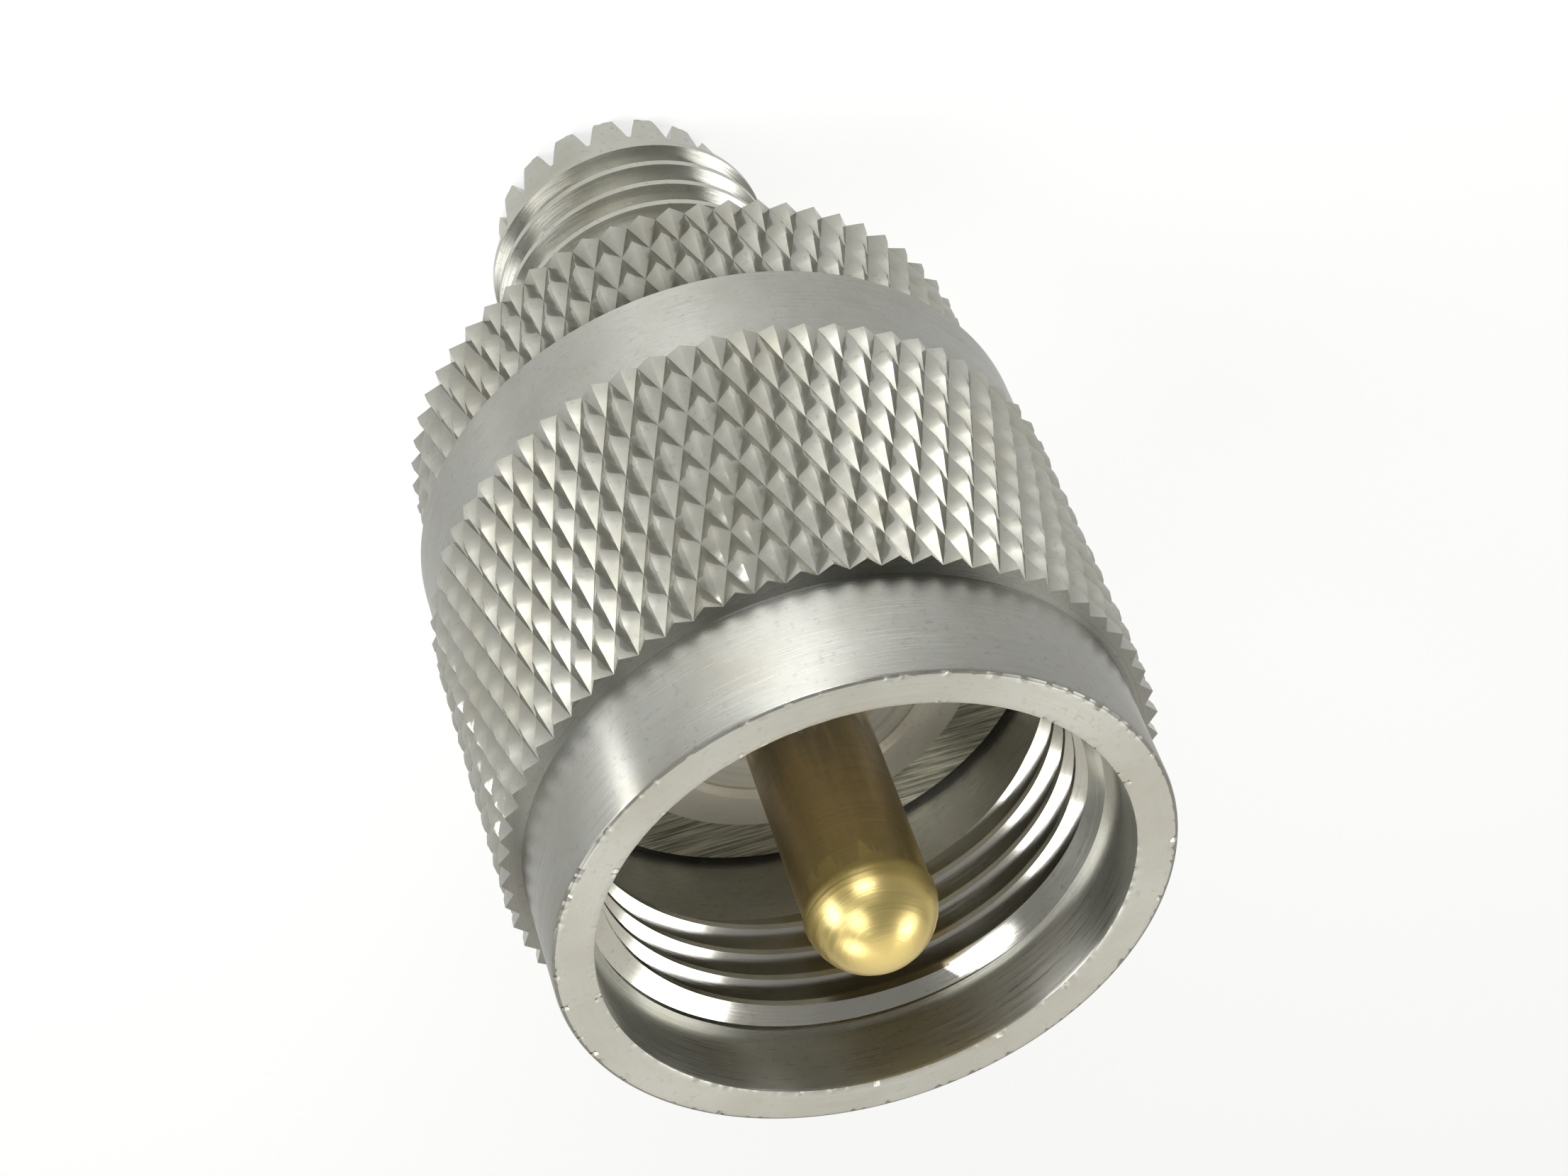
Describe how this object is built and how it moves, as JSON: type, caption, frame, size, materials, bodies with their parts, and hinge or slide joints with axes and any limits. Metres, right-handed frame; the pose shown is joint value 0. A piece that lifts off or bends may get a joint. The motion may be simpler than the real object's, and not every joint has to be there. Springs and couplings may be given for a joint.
{
  "type": "coaxial plug to threaded jack adapter",
  "caption": "Coaxial adapter: knurled coupling nut turning round a gold pin at one end, and a small threaded jack with a toothed rim at the other.",
  "frame": {"origin": "on the axis, in the plane of the jack's tooth tips, on which the part stands", "axes": "+Z along the axis from the jack to the plug; +X and +Y are free, with the split of the retaining ring towards -Y"},
  "size_m": [0.0202, 0.0202, 0.0348],
  "materials": {
    "nickel_plate": "bright nickel plate over turned brass",
    "gold_plate": "thin gold plate over turned brass",
    "spring_steel": "stamped, with straight grain",
    "white_plastic": "satin white"
  },
  "bodies": {
    "body": {"plug_body": "nickel_plate", "jack_shell": "nickel_plate", "retaining_ring": "spring_steel", "plug_insulator": "white_plastic", "jack_insulator": "white_plastic", "centre_pin": "gold_plate", "jack_contact": "gold_plate"},
    "nut": {"coupling_nut": "nickel_plate"}
  },
  "joints": [
    {"name": "nut_spin", "type": "hinge", "parent": "body", "child": "nut", "pos_m": [0, 0, 0.02], "axis": [0, 0, 1], "continuous": true}
  ]
}
